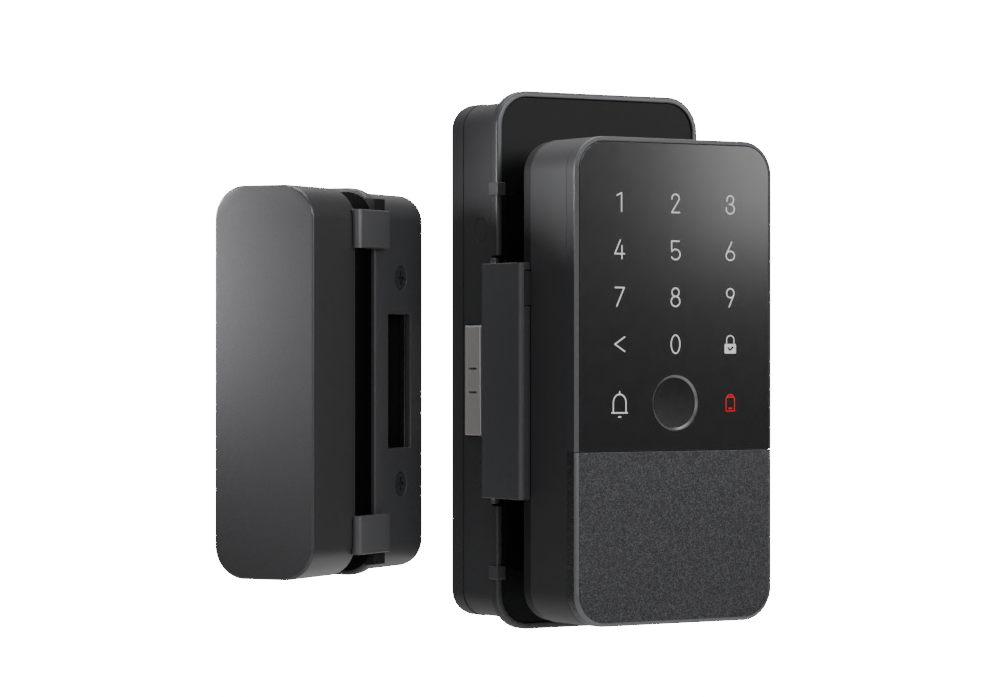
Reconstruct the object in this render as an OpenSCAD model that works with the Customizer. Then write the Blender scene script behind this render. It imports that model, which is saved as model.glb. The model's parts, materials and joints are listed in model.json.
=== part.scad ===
// Clamp-on keypad smart lock for a frameless glass door, with its strike unit.
// The glass leaf lies between y = -glass_t and y = 0. +Y points into the room, +Z up, and the
// origin is on the inner glass face, at the middle of the lock's width and at bolt height.

/* [Glass door] */
// Thickness of the glass leaf that both units clamp
glass_t = 12; // [8:0.5:15]

/* [Outdoor unit] */
// Width of the outdoor unit
out_w = 84; // [70:1:104]
// Height of the outdoor unit
out_h = 170; // [160:1:210]
// Depth of the outdoor unit, front glass to back plate
out_d = 33.9; // [28:0.1:44]
// Corner radius of the outdoor unit
out_r = 12; // [8:0.5:16]
// Wall of the outdoor housing
out_wall = 2.2; // [1.8:0.1:3]
// Width of the bevelled rim round the panels
rim_w = 1.6; // [1.5:0.1:3]
// Depth of the bevel on that rim
rim_d = 0.7; // [0.5:0.1:2.5]
// Thickness of the outdoor back plate
out_plate_t = 5.2; // [4:0.1:8]
// Thickness of the outdoor glass pad
out_pad_t = 1; // [0.5:0.1:2.5]
// Thickness of the front panels
panel_t = 2.8; // [2:0.1:4]
// Height of the lower cap, below the glass panel
lower_h = 60.7; // [50:0.1:75]
// Depth of the front frame and the lower cap, seen on the sides
frame_d = 5.5; // [5:0.1:8]

/* [Keypad] */
// Spacing of the key columns
key_dx = 23.6; // [20:0.1:26]
// Spacing of the key rows
key_dz = 16.45; // [15:0.05:19]
// Drop from the top of the unit to the top key row
key_drop = 22.65; // [18:0.05:30]
// Height of the symbol row and the fingerprint reader above the lower cap
symbol_rise = 16.8; // [13:0.1:20]
// Outer diameter of the fingerprint ring
ring_d = 19.4; // [17:0.1:22]

/* [Indoor unit] */
// Width of the indoor unit
in_w = 87.2; // [84:0.1:110]
// Height of the indoor unit
in_h = 192.4; // [188:0.1:240]
// Height of the indoor unit's middle above the bolt line
in_rise = 7.4; // [4:0.1:12]
// Depth of the indoor unit, rim to rear face
in_d = 33.6; // [31:0.1:40]
// Corner radius of the indoor unit
in_r = 13; // [9:0.5:18]
// How far the indoor housing ends short of its bezel, at the top and the bottom
body_in = 3.5; // [1:0.1:5]
// Wall of the indoor housing and rear cover
in_wall = 2.4; // [1.8:0.1:3]
// Depth of the bezel frame behind the rim
bezel_d = 4; // [3.5:0.1:6]
// Depth of the rear cover
cover_d = 10.4; // [8:0.1:12]
// How far the indoor glass pad stands in front of the rim
in_pad_t = 1.5; // [0.5:0.1:2.5]

/* [Bolt] */
// Height of the bolt
bolt_h = 39.5; // [34:0.5:48]
// Thickness of the bolt
bolt_t = 11; // [8:0.1:12]
// Middle of the bolt behind the indoor rim
bolt_back = 15.3; // [14.5:0.1:16]
// Throw of the bolt
bolt_throw = 14; // [10:0.5:16]
// Teeth on the bolt pinion
pinion_teeth = 14; // [12:1:18]
// Distance from the thumbturn axis to the motor axis
motor_drop = 24.6; // [24:0.1:30]
// Teeth on the spindle wheel
wheel_teeth = 40; // [36:2:48]
// Teeth on the motor pinion
motor_teeth = 12; // [10:1:14]

/* [Edge cover and clips] */
// Height of the edge cover
edge_h = 83.4; // [70:0.1:100]
// How far the edge cover stands proud of the indoor unit
edge_proud = 2.9; // [2:0.1:4]
// Height of an edge clip
clip_h = 4.7; // [4:0.1:8]
// Distance of the edge clips from the bolt line
clip_z = 68.3; // [60:0.1:72]

/* [Battery] */
// Diameter of one AA cell
cell_d = 14.2; // [14:0.1:14.5]
// Length of one AA cell with its button
cell_l = 50.2; // [49.5:0.1:50.5]
// Spacing of the cells
cell_pitch = 15.4; // [15:0.1:17]

/* [Strike unit] */
// Width of the strike unit
strike_w = 38.6; // [34:0.1:48]
// Height of the strike cover
strike_h = 134; // [125:0.1:160]
// Height of the strike unit's indoor box
strike_box_h = 135.4; // [130:0.1:165]
// Corner radius of the strike unit
strike_r = 11.5; // [8:0.5:14]
// Depth of the strike cover
strike_cover_d = 29.9; // [24:0.1:40]
// Depth of the strike box, rim to rear face
strike_box_d = 38; // [30:0.1:42]
// How far the strike box ends short of its rim plate, at the top and the bottom
strike_in = 1.5; // [0.5:0.1:3]
// Wall of the strike cover and box
strike_wall = 2.5; // [2:0.1:3]
// How far the strike's indoor glass pad stands in front of its rim
strike_pad_t = 0.4; // [0.2:0.1:1.5]
// Thickness of the strike's outdoor glass pad
strike_out_pad_t = 2.1; // [1:0.1:3]
// Room above and below the bolt in its slot
slot_room_z = 3.75; // [1:0.05:5]
// Room behind the bolt in its slot
slot_room_y = 5.3; // [1:0.1:6]
// Height of a strike clamp
clamp_h = 13.3; // [10:0.1:16]
// Distance of a clamp's middle from the end of the strike cover
clamp_in = 14.2; // [12:0.1:16]
// Distance of the screws beyond the ends of the bolt slot
screw_past = 12.8; // [8:0.1:13]
// Diameter of the strike's screw heads
screw_head_d = 8.1; // [6:0.1:9]

/* [Strike placing] */
// Turn of the strike unit away from the closed door
swing = 58; // [0:1:75]
// Gap between the units' sides when the door is closed
door_gap = 5; // [4:0.5:8]
// Middle of the swing, in from the strike's side face
pivot_in = 22; // [18:0.1:26]
// Middle of the swing, behind the strike's rear face
pivot_behind = 3.1; // [2:0.1:10]

/* [Hidden] */
$fn = 64;
// Cut tools run this far past the faces they open.
over = 1;
// Clearance between pieces that drop into each other
fit = 0.15;
// Clearance round sliding pieces
slide = 0.3;
// Radial clearance of a turning shaft
run = 0.05;

out_back = -glass_t - out_pad_t;
out_front = out_back - out_d;
out_plate_front = out_back - out_plate_t;
frame_back = out_front + frame_d;
panel_back = out_front + panel_t;
seam_z = lower_h - out_h / 2;
key_top = out_h / 2 - key_drop;
symbol_z = seam_z + symbol_rise;
ledge_w = 4;
rim_flat = 0.2;
open_w = out_w - 2 * rim_w;
open_h = out_h - 2 * rim_w;
open_r = out_r - rim_w;
board_t = 1.6;
guide_t = frame_d - panel_t + 0.3;
port_y = out_front + out_d / 2;
board_y = panel_back + guide_t;
out_screw_x = out_w / 2 - 7.4;
out_screw_z = out_h / 2 - 7.4;

in_rim = in_pad_t;
in_back = in_rim + in_d;
bezel_back = in_rim + bezel_d;
cover_front = in_back - cover_d;
web_t = 2;
web_back = bezel_back + web_t;
bezel_wall = 2.2;
bezel_edge = 0.5;
bezel_ledge = 3;
plate_t = 1.9;
plate_front = in_rim + 0.6;
plate_back = plate_front + plate_t;
pad_half_h = clip_z - 0.8;
plate_w = in_w - 2 * (bezel_wall + fit);
plate_h = in_h - 2 * (bezel_wall + fit);
plate_r = in_r - bezel_wall;
side_x = in_w / 2;
cover_screw_x = side_x - 5.4;
cover_boss_d = 6.6;
in_top = in_rise + in_h / 2;
in_bottom = in_rise - in_h / 2;
body_h = in_h - 2 * body_in;
body_r = in_r - body_in;
body_top = in_top - body_in;
body_bottom = in_bottom + body_in;
cover_round = 4;
bearing_w = in_w - 2 * (bezel_wall + bezel_ledge + fit);
bearing_h = 26;
bearing_z = [-60, 70];
notch_z = edge_h / 2 + 2.8;
plug_z = [54, -34];

bolt_y = in_rim + bolt_back;
bolt_front = bolt_y - bolt_t / 2;
rail_t = 4;
bolt_nose_x = -side_x - 0.8;
bolt_l = bolt_throw + 10.4;
bolt_end_x = bolt_nose_x + bolt_l;
pinion_r = bolt_throw * 2 / PI;
pinion_m = 2 * pinion_r / pinion_teeth;
pinion_w = 4.6;
tail_t = 5;
tail_lo = -pinion_r - 6;
tail_hi = pinion_r + 5.2;
tail_end_x = bolt_throw + pinion_r + 5.6;
gear_m = 2 * motor_drop / (wheel_teeth + motor_teeth);
wheel_r = gear_m * wheel_teeth / 2;
motor_r = gear_m * motor_teeth / 2;
motor_body_r = 6.5;
wheel_y = bolt_y + bolt_t / 2 + 1.2;
wheel_w = 3;
spindle_d = 8;
spindle_flat = 3;
spindle_y0 = web_back - 0.8;
knob_gap = 0.4;
knob_base_t = 4;
knob_d = 36;
knob_grip_h = 12;
knob_grip_w = 9;

edge_x = max(in_w, out_w) / 2 + edge_proud;
edge_front = out_back - 5.3;
edge_back = in_rim + 5.6;
edge_wall = 1.8;
edge_round = 2;
cable_t = 0.8;
cable_w = 12;
cable_z = (bolt_h / 2 + rail_t + edge_h / 2 - cable_w) / 2;
cable_y_out = out_back - 4.6;
cable_y_in = in_rim + 3.25;

cell_z0 = body_top - 7.5 - cell_l;
tray_wall = 1.4;
bay_top = cell_z0 + cell_l + tray_wall + 2.6;
tray_w = 4 * cell_pitch + 2 * tray_wall;
contact_t = 0.5;
door_w = 68;
door_t = 2.2;
cell_y = in_back - door_t - 1.8 - cell_d / 2;
door_z0 = cell_z0 - 6;
tongue = 1;
button_x = 21;
button_z = in_bottom + 41.8;
button_d = 5;
button_travel = 0.6;
mb_y = 12;
mb_w = 54;
mb_z0 = in_bottom + 8;
mb_h = 40;

s_half = strike_w / 2;
s_cover_back = -glass_t - strike_out_pad_t;
s_cover_front = s_cover_back - strike_cover_d;
s_rim = strike_pad_t;
s_back = s_rim + strike_box_d;
box_h = strike_box_h - 2 * strike_in;
box_r = strike_r - strike_in;
box_round = 2.5;
s_plate_t = 4.6;
s_plate_back = s_rim + s_plate_t;
slot_h = bolt_h + 2 * slot_room_z;
slot_w = bolt_t + 0.5 + slot_room_y;
slot_y0 = bolt_front - 0.5;
slot_yc = slot_y0 + slot_w / 2;
keeper_t = 2.4;
dust_wall = 1.2;
dust_depth = 16.4;
screw_z = slot_h / 2 + screw_past;
keeper_end = screw_z + 8;
magnet_z = (keeper_end + box_h / 2 - box_r) / 2;
clamp_z = strike_h / 2 - clamp_in;
clamp_proud = 2.9;
clamp_front = s_cover_back - 2.3;
clamp_back = s_rim + 5.6;
s_clip_h = 4.3;
strike_face_x = -side_x - door_gap;
closed_x = strike_face_x - s_half;
pivot_x = strike_face_x - pivot_in;
pivot_y = s_back + pivot_behind;

// ---- Shared shapes ----

// Rounded rectangle in the XZ plane, from y0 to y1, centred on x = 0 and z = zc.
module slab(w, h, r, y0, y1, zc = 0) {
    translate([0, y1, zc]) rotate([90, 0, 0]) linear_extrude(y1 - y0) rounded(w, h, r);
}

module rounded(w, h, r) {
    square([w - 2 * r, h], center = true);
    square([w, h - 2 * r], center = true);
    for (x = [-1, 1], z = [-1, 1])
        translate([x * (w / 2 - r), z * (h / 2 - r)]) circle(r);
}

// Slab whose rear edge is rounded over by e.
module slab_round_back(w, h, r, y0, y1, e, zc = 0) {
    hull() {
        slab(w, h, r, y0, y1 - e, zc);
        for (a = [22.5, 45, 67.5, 90]) {
            in_by = e * (1 - cos(a));
            slab(w - 2 * in_by, h - 2 * in_by, r - in_by, y1 - e, y1 - e + e * sin(a), zc);
        }
    }
}

// Slab whose front edge is bevelled, in by a and back by b.
module slab_bevel_front(w, h, r, y0, y1, a, b, zc = 0) {
    hull() {
        slab(w - 2 * a, h - 2 * a, r - a, y0, y0 + b, zc);
        slab(w, h, r, y0 + b, y1, zc);
    }
}

// Cylinder along Y from y0 to y1.
module rod_y(d, y0, y1, x = 0, z = 0) {
    translate([x, y1, z]) rotate([90, 0, 0]) cylinder(d = d, h = y1 - y0);
}

// Cylinder along X from x0 to x1.
module rod_x(d, x0, x1, y = 0, z = 0) {
    translate([x0, y, z]) rotate([0, 90, 0]) cylinder(d = d, h = x1 - x0);
}

// Block between two corners.
module block(lo, hi) {
    translate(lo) cube(hi - lo);
}

// Countersunk hole along Y whose wide mouth is at y_head; dir is the way the tip points.
module csk_y(d, head, y_head, l, dir, x, z) {
    translate([x, y_head, z]) rotate([-90 * dir, 0, 0]) {
        cylinder(d = d, h = l);
        translate([0, 0, -0.01]) cylinder(d1 = head, d2 = d, h = (head - d) / 2);
    }
}

// Countersunk screw with a cross recess.
module csk_screw_y(d, head, y_head, l, dir, x, z) {
    difference() {
        csk_y(d, head, y_head, l, dir, x, z);
        for (a = [0, 90]) translate([x, y_head, z]) rotate([0, a, 0])
            cube([head * 0.55, 1.6, 0.7], center = true);
    }
}

// Outline of a spur gear with m module and z teeth, thinned for backlash.
function tooth(z, m, a) = let (
    pitch = m * z / 2, root = pitch - 1.15 * m, tip = pitch + 0.85 * m, q = 90 / z)
    [for (p = [[root, -1.1], [pitch, -0.82], [tip, -0.38], [tip, 0.38], [pitch, 0.82], [root, 1.1]])
        p[0] * [cos(a + p[1] * q), sin(a + p[1] * q)]];
function gear_points(z, m) = [for (i = [0:z - 1]) each tooth(z, m, 360 * i / z)];

// Spur gear along Y with a tooth (or a gap) towards -Z.
module gear_y(z, m, y0, y1, phase = 0) {
    translate([0, y1, 0]) rotate([90, 0, 0]) rotate(-90 + phase)
        linear_extrude(y1 - y0) polygon(gear_points(z, m));
}

// Shaft hole with one flat, along Y.
module d_hole(d, flat, y0, y1) {
    intersection() {
        rod_y(d, y0, y1);
        block([-d, y0, -d], [d, y1, flat]);
    }
}

// ---- Outdoor unit ----

module outdoor_housing() {
    color("#2b2b2c") difference() {
        union() {
            difference() {
                slab(out_w, out_h, out_r, frame_back, out_plate_front);
                slab(out_w - 2 * out_wall, out_h - 2 * out_wall, out_r - out_wall,
                    frame_back - over, out_plate_front + over);
            }
            for (x = [-1, 1], z = [-1, 1])
                rod_y(7, frame_back, out_plate_front, x * out_screw_x, z * out_screw_z);
        }
        for (x = [-1, 1], z = [-1, 1])
            rod_y(2.6, out_plate_front - 9, out_plate_front + over, x * out_screw_x, z * out_screw_z);
        port_cut(0);
        for (i = [-2:2])
            translate([out_w / 4 + i * 3, port_y, -out_h / 2 - over])
                cylinder(d = 1.6, h = out_wall + 2 * over);
    }
}

// Bevelled front of the unit: everything above or below the seam, less c at the seam.
module front_solid(above, c) {
    intersection() {
        slab_bevel_front(out_w, out_h, out_r, out_front, frame_back, rim_w - rim_flat, rim_d);
        if (above) block([-out_w, out_front - over, seam_z + c], [out_w, frame_back + over, out_h]);
        else block([-out_w, out_front - over, -out_h], [out_w, frame_back + over, seam_z - c]);
    }
}

module front_frame() {
    color("#4e4f51") difference() {
        front_solid(true, fit / 2);
        slab(open_w, open_h, open_r, out_front - over, panel_back);
        block([-open_w / 2, out_front - over, seam_z - over], [open_w / 2, panel_back, seam_z + 20]);
        slab(open_w - 2 * ledge_w, open_h - 2 * ledge_w, open_r - ledge_w, out_front - over, frame_back + over);
        block([-open_w / 2 + ledge_w, out_front - over, seam_z - over],
            [open_w / 2 - ledge_w, frame_back + over, seam_z + 20]);
        seam_tongues(0.1);
    }
}

// Tongues on the lower cap that close the seam at both sides, grown by c.
module seam_tongues(c) {
    for (x = [-1, 1]) translate([x * (out_w / 2 - rim_w / 2 - 0.1), 0, seam_z])
        block([-0.5 - c, out_front + rim_d + 0.9 - c, -1], [0.5 + c, frame_back - 0.6 + c, 1 + c]);
}

module lower_cap() {
    color("#47484a") {
        cap_body();
        seam_tongues(0);
    }
}

module cap_body() {
    difference() {
        front_solid(false, fit / 2);
        intersection() {
            slab(out_w - 2 * out_wall, out_h - 2 * out_wall, out_r - out_wall, panel_back, frame_back + over);
            block([-out_w, panel_back, -out_h], [out_w, frame_back + over, seam_z - out_wall]);
        }
    }
}

// Rounded slot through the bottom wall for the emergency supply port.
module port_cut(grow) {
    translate([0, port_y, -out_h / 2 - over]) {
        translate([-2.9, -1.6 - grow, 0]) cube([5.8, 3.2 + 2 * grow, out_wall + 2 * over]);
        for (x = [-1, 1]) translate([x * 2.9, 0, 0])
            cylinder(d = 3.2 + 2 * grow, h = out_wall + 2 * over);
    }
}

module outdoor_back_plate() {
    inset = 0.4;
    w = out_w - 2 * inset;
    h = out_h - 2 * inset;
    wall = out_wall + 0.8;
    color("#232324") difference() {
        slab(w, h, out_r - inset, out_plate_front, out_back);
        difference() {
            slab(w - 2 * wall, h - 2 * wall, out_r - wall, out_plate_front - over, out_back - 2.2);
            for (x = [-1, 1], z = [-1, 1])
                rod_y(9, out_plate_front, out_back, x * out_screw_x, z * out_screw_z);
        }
        for (x = [-1, 1], z = [-1, 1])
            csk_y(3.2, 6, out_back, out_plate_t + over, -1, x * out_screw_x, z * out_screw_z);
        cable_run(0.2, cable_y_out, -out_w / 2 + 8.8);
    }
}

// Space of the flat link cable at depth y, from the edge cover in to x1, grown by c.
module cable_run(c, y, x1) {
    block([-edge_x + edge_wall + 0.4 - c, y - cable_t / 2 - c, cable_z - c],
        [x1 + c, y + cable_t / 2 + c, cable_z + cable_w + c]);
}

module glass_panel() {
    color("#1d1e20") difference() {
        intersection() {
            slab(open_w - 2 * fit, open_h - 2 * fit, open_r - fit, out_front, panel_back);
            block([-out_w, out_front - over, seam_z + fit], [out_w, panel_back + over, out_h]);
        }
        rod_y(ring_d + 2 * run, out_front - over, panel_back + over, 0, symbol_z);
    }
}

module fingerprint_ring() {
    color("#8c8d90") difference() {
        rod_y(ring_d, out_front, panel_back, 0, symbol_z);
        translate([0, out_front - 0.01, symbol_z]) rotate([-90, 0, 0])
            cylinder(d1 = ring_d - 0.9, d2 = ring_d - 3, h = 1.4);
        rod_y(ring_d - 3, out_front, panel_back + over, 0, symbol_z);
    }
}

module fingerprint_sensor() {
    color("#2a2b2d") rod_y(ring_d - 3.1, out_front + 1.35, board_y, 0, symbol_z);
}

module key_light_guides() {
    color("#e8e8e4") for (c = [-1:1], r = [0:4])
        if (r < 4 || c != 0) translate([c * key_dx, 0, r < 4 ? key_top - r * key_dz : symbol_z])
            block([-4.5, panel_back, -4.5], [4.5, board_y, 4.5]);
}

module touch_board() {
    color("#1f4a34") slab(out_w - 2 * out_wall - 4, out_h - 26, 2, board_y, board_y + board_t);
}

module speaker() {
    y = board_y + board_t;
    color("#1a1a1a") translate([out_w / 4, 0, -out_h / 2 + 30]) difference() {
        union() {
            rod_y(20, y, y + 4);
            rod_y(14, y, y + 5.2);
        }
        rod_y(5, y + 4.6, y + 6);
    }
}

module supply_port() {
    y = port_y;
    z0 = -out_h / 2 + 0.2;
    color("#b9bbbe") difference() {
        union() {
            translate([0, 0, z0]) {
                translate([-2.9, y - 1.55, 0]) cube([5.8, 3.1, 7.4]);
                for (x = [-1, 1]) translate([x * 2.9, y, 0]) cylinder(d = 3.1, h = 7.4);
            }
            block([-7, y - 1.55, z0 + out_wall + fit], [7, y + 1.55, z0 + 9.4]);
            block([-7, board_y + board_t, z0 + out_wall + 1], [7, y - 1.5, z0 + 9.4]);
        }
        difference() {
            block([-3.8, y - 1.2, z0 - over], [3.8, y + 1.2, z0 + 6.2]);
            block([-3, y - 0.35, z0 + 0.8], [3, y + 0.35, z0 + 7]);
        }
    }
}

module outdoor_pad() {
    color("#151515") slab(out_w - 8, out_h - 8, out_r - 4, out_back, -glass_t);
}

module outdoor_screws() {
    color("#7c7e82") for (x = [-1, 1], z = [-1, 1])
        csk_screw_y(3 - 2 * 0.21, 5.7, out_back - 0.1, out_plate_t + 6, -1, x * out_screw_x, z * out_screw_z);
}

// ---- Indoor unit ----

module indoor_bezel() {
    color("#4a4b4d") difference() {
        slab_bevel_front(in_w, in_h, in_r, in_rim, bezel_back, bezel_edge, bezel_edge, in_rise);
        slab(in_w - 2 * bezel_wall, in_h - 2 * bezel_wall, in_r - bezel_wall,
            in_rim - over, plate_back, in_rise);
        slab(in_w - 2 * (bezel_wall + bezel_ledge), in_h - 2 * (bezel_wall + bezel_ledge),
            in_r - bezel_wall - bezel_ledge, in_rim - over, bezel_back + over, in_rise);
        block([-in_w, in_rim - over, -notch_z],
            [-side_x + bezel_wall + bezel_ledge + 0.01, bezel_back + over, notch_z]);
    }
}

module mounting_plate() {
    color("#2d2e30") difference() {
        slab(plate_w, plate_h, plate_r - fit, plate_front, plate_back, in_rise);
        plate_screw_places() csk_y(3.2, 6, plate_front, plate_t + over, 1, 0, 0);
        block([-in_w, in_rim, -notch_z], [-side_x + bezel_wall + 1.6, plate_back + over, notch_z]);
    }
}

module plate_screw_places() {
    for (x = [-1, 1], z = [-1, 1])
        translate([x * (side_x - 12), 0, z * (pad_half_h - 7.5)]) children();
}

module indoor_pad() {
    color("#141414") slab(in_w - 9.4, 2 * pad_half_h, 3, 0, plate_front);
}

module indoor_housing() {
    color("#2c2d2e") difference() {
        union() {
            difference() {
                slab(in_w - 0.6, body_h - 0.6, body_r - 0.3, bezel_back, cover_front, in_rise);
                slab(in_w - 2 * in_wall, body_h - 2 * in_wall, body_r - in_wall,
                    web_back, cover_front + over, in_rise);
            }
            plate_screw_places() rod_y(7, plate_back, web_back + 5);
            cover_screw_places() rod_y(cover_boss_d, web_back - 0.01, cover_front);
            rod_y(spindle_d + 8, bezel_back, web_back + 1.8);
            for (z = bearing_z) slab(bearing_w, bearing_h, 3, plate_back, bezel_back + 0.01, z);
        }
        plate_screw_places() rod_y(2.6, in_rim, web_back + 4);
        cover_screw_places() rod_y(2.1, cover_front - 9, cover_front + over);
        rod_y(spindle_d + 2 * run, spindle_y0 - 0.2, web_back + 3);
        block([-in_w, bolt_front - slide, -bolt_h / 2 - slide],
            [-side_x + in_wall + over, bolt_front + bolt_t + slide, bolt_h / 2 + slide]);
        plug_places() rod_x(8.6, -side_x - over, -side_x + in_wall + over);
        block([-side_x + 6, bezel_back - over, cable_z - 0.2],
            [-side_x + 9.4, web_back + over, cable_z + cable_w + 0.2]);
    }
}

module cover_screw_places() {
    for (x = [-1, 1], z = [body_bottom + 10.5, body_top - 10.5])
        translate([x * cover_screw_x, 0, z]) children();
}

module plug_places() {
    for (z = plug_z) translate([0, in_rim + 11.7, z]) children();
}

// Part of the rear cover that the battery door takes over, grown by c.
module door_space(c) {
    block([-door_w / 2 - c, in_back - door_t - c, door_z0 - c], [door_w / 2 + c, in_back + over, in_top + over]);
    block([-door_w / 2 - tongue - c, in_back - door_t - c, door_z0 - c],
        [door_w / 2 + tongue + c, in_back - door_t + 0.9 + c, in_top + over]);
}

module cover_solid() {
    slab_round_back(in_w, body_h, body_r, cover_front, in_back, cover_round, in_rise);
}

module rear_cover() {
    bay_w = tray_w + 2 * fit;
    color("#2c2d2e") difference() {
        union() {
            difference() {
                cover_solid();
                slab(in_w - 2 * in_wall, body_h - 2 * in_wall, body_r - in_wall,
                    cover_front - over, in_back - in_wall, in_rise);
            }
            rod_y(spindle_d + 8, wheel_y + wheel_w + 0.6, in_back - 0.1);
            cover_screw_places() rod_y(cover_boss_d, cover_front, in_back - 1);
            difference() {
                block([-door_w / 2 - 3, in_back - door_t - 2.2, door_z0 - 3],
                    [door_w / 2 + 3, in_back - 2, body_top - 1]);
                block([-bay_w / 2, cover_front - over, door_z0 + 3], [bay_w / 2, in_back, bay_top]);
            }
            translate([button_x, 0, button_z]) rod_y(button_d + 3.4, in_back - 6, in_back - 0.1);
        }
        door_space(slide);
        block([-bay_w / 2, cover_front - over, door_z0 + 3], [bay_w / 2, in_back, bay_top]);
        rod_y(spindle_d + 2 * run, cover_front - over, in_back + over);
        rod_y(knob_d + 2.4, in_back - 1, in_back + over);
        cover_screw_places() csk_y(2.7, 4.7, in_back, cover_d + over, -1, 0, 0);
        translate([button_x, 0, button_z]) rod_y(button_d + 2 * slide, cover_front, in_back + over);
        translate([-button_x, 0, button_z]) rod_y(3 + 2 * run, cover_front, in_back + over);
        cover_vents();
    }
}

// Row of sound slots for the buzzer.
module cover_vents() {
    for (i = [-2:2]) translate([i * 4, 0, in_bottom + 22])
        block([-0.8, cover_front, -5], [0.8, in_back + over, 5]);
}

module battery_door() {
    grip_z = door_z0 + 8;
    color("#2f3031") difference() {
        intersection() {
            cover_solid();
            door_space(0);
        }
        for (i = [0:3]) translate([0, in_back, grip_z + i * 2.4])
            block([-12, -0.7, -0.6], [12, over, 0.6]);
    }
}

module battery_tray() {
    y0 = cell_y - cell_d / 2 - tray_wall;
    z0 = cell_z0 - 4.2;
    z1 = cell_z0 + cell_l + 2.2;
    color("#1c1c1d") difference() {
        union() {
            block([-tray_w / 2, y0, z0 - tray_wall], [tray_w / 2, in_back - door_t - 2.4, z1 + tray_wall]);
            for (x = [-1, 1], z = [cell_z0 + 8, cell_z0 + cell_l - 8])
                rod_y(6, web_back, y0 + 0.2, x * cell_pitch * 1.5, z);
        }
        block([-tray_w / 2 + tray_wall, y0 + tray_wall, z0], [tray_w / 2 - tray_wall, in_back, z1]);
    }
}

module cell_places() {
    for (i = [0:3]) translate([(i - 1.5) * cell_pitch, cell_y, cell_z0])
        mirror([0, 0, i % 2]) translate([0, 0, (i % 2) * -cell_l]) children();
}

module battery_cells() {
    color("#3c5a46") cell_places() {
        cylinder(d = cell_d, h = cell_l - 1);
        cylinder(d = 5.4, h = cell_l);
    }
}

module battery_contacts() {
    z0 = cell_z0 - 4.2;
    z1 = cell_z0 + cell_l + 2.2;
    color("#c8cacc") for (i = [0:3]) translate([(i - 1.5) * cell_pitch, cell_y, 0]) {
        if (i % 2 == 0) {
            spring_contact(z0, cell_z0, 1);
            block([-5, -5, z1 - contact_t], [5, 5, z1]);
            block([-2, -2, cell_z0 + cell_l], [2, 2, z1]);
        } else {
            block([-5, -5, z0], [5, 5, z0 + contact_t]);
            block([-2, -2, z0], [2, 2, cell_z0]);
            spring_contact(z1, cell_z0 + cell_l, -1);
        }
    }
}

// Plate with a conical stack of wire turns that reaches from it to the cell.
module spring_contact(z_plate, z_cell, dir) {
    turns = 4;
    z0 = z_plate + dir * contact_t / 2;
    wire = abs(z_cell - z0) / turns;
    translate([-5, -5, dir > 0 ? z_plate : z_plate - contact_t]) cube([10, 10, contact_t]);
    for (i = [0:turns - 1]) translate([0, 0, z0 + dir * wire * (i + 0.5) - dir * 0.01])
        rotate_extrude() translate([4.6 - i * 0.7, 0]) square([0.9, wire + 0.02], center = true);
}

module thumbturn() {
    y0 = in_back - 1 + knob_gap;
    y1 = y0 + knob_base_t;
    y2 = y1 + knob_grip_h;
    color("#5a5b5e") difference() {
        union() {
            rod_y(knob_d, y0, y1 - 1);
            translate([0, y1 - 1, 0]) rotate([-90, 0, 0]) cylinder(d1 = knob_d, d2 = knob_d - 2, h = 1);
            hull() for (z = [-1, 1]) {
                rod_y(knob_grip_w, y1 - 0.5, y2 - 1, 0, z * (knob_d - knob_grip_w - 2) / 2);
                rod_y(knob_grip_w - 2, y1 - 0.5, y2, 0, z * (knob_d - knob_grip_w - 2) / 2);
            }
        }
        d_hole(spindle_d + 2 * fit, spindle_flat + fit, y0 - over, y0 + 9);
    }
}

module spindle() {
    y_knob = in_back - 1 + knob_gap;
    color("#9a9ca0") {
        rod_y(spindle_d, spindle_y0, y_knob - 0.1);
        d_hole(spindle_d, spindle_flat, y_knob - 0.2, y_knob + 8.8);
    }
}

module bolt_pinion() {
    y0 = bolt_y - pinion_w / 2;
    color("#a8a9ac") difference() {
        union() {
            gear_y(pinion_teeth, pinion_m, y0, y0 + pinion_w);
            rod_y(spindle_d + 4, y0, wheel_y);
        }
        rod_y(spindle_d, y0 - over, wheel_y + over);
    }
}

module spindle_wheel() {
    color("#d9d6cc") difference() {
        gear_y(wheel_teeth, gear_m, wheel_y, wheel_y + wheel_w, 180 / wheel_teeth);
        rod_y(spindle_d, wheel_y - over, wheel_y + wheel_w + over);
        for (a = [0:60:300]) rotate([0, a, 0])
            rod_y(wheel_r * 0.32, wheel_y - over, wheel_y + wheel_w + over, wheel_r * 0.6);
    }
}

module motor_pinion() {
    color("#c9b06a") translate([0, 0, -motor_drop]) difference() {
        union() {
            rotate([0, 180, 0]) gear_y(motor_teeth, gear_m, wheel_y - 0.3, wheel_y + wheel_w + 0.3);
            rod_y(5.6, wheel_y + wheel_w, wheel_y + wheel_w + 1.4);
        }
        rod_y(3 + 2 * run, wheel_y - over, wheel_y + wheel_w + 1);
    }
}

module gear_motor() {
    y0 = web_back;
    y1 = wheel_y - 0.8;
    color("#a9abad") translate([0, 0, -motor_drop]) {
        rod_y(2 * motor_body_r, y0, y1 - 0.8);
        rod_y(6, y0, y1);
        rod_y(3, y0, wheel_y + wheel_w + 0.8);
        block([-motor_body_r - 5, y0, -motor_body_r], [motor_body_r + 5, y0 + 1.6, -1]);
    }
}

module escutcheon_ring() {
    color("#77797c") difference() {
        rod_y(knob_d + 2.3, in_back - 1, in_back + 0.3);
        rod_y(knob_d + 0.8, in_back - 2, in_back + over);
    }
}

module main_board() {
    color("#1f4a34") difference() {
        union() {
            block([-mb_w / 2, mb_y, mb_z0], [mb_w / 2, mb_y + board_t, mb_z0 + mb_h]);
            for (x = [-1, 1], z = [mb_z0 + 5, mb_z0 + mb_h - 5])
                rod_y(5, web_back, mb_y, x * (mb_w / 2 - 8), z);
        }
    }
}

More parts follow.
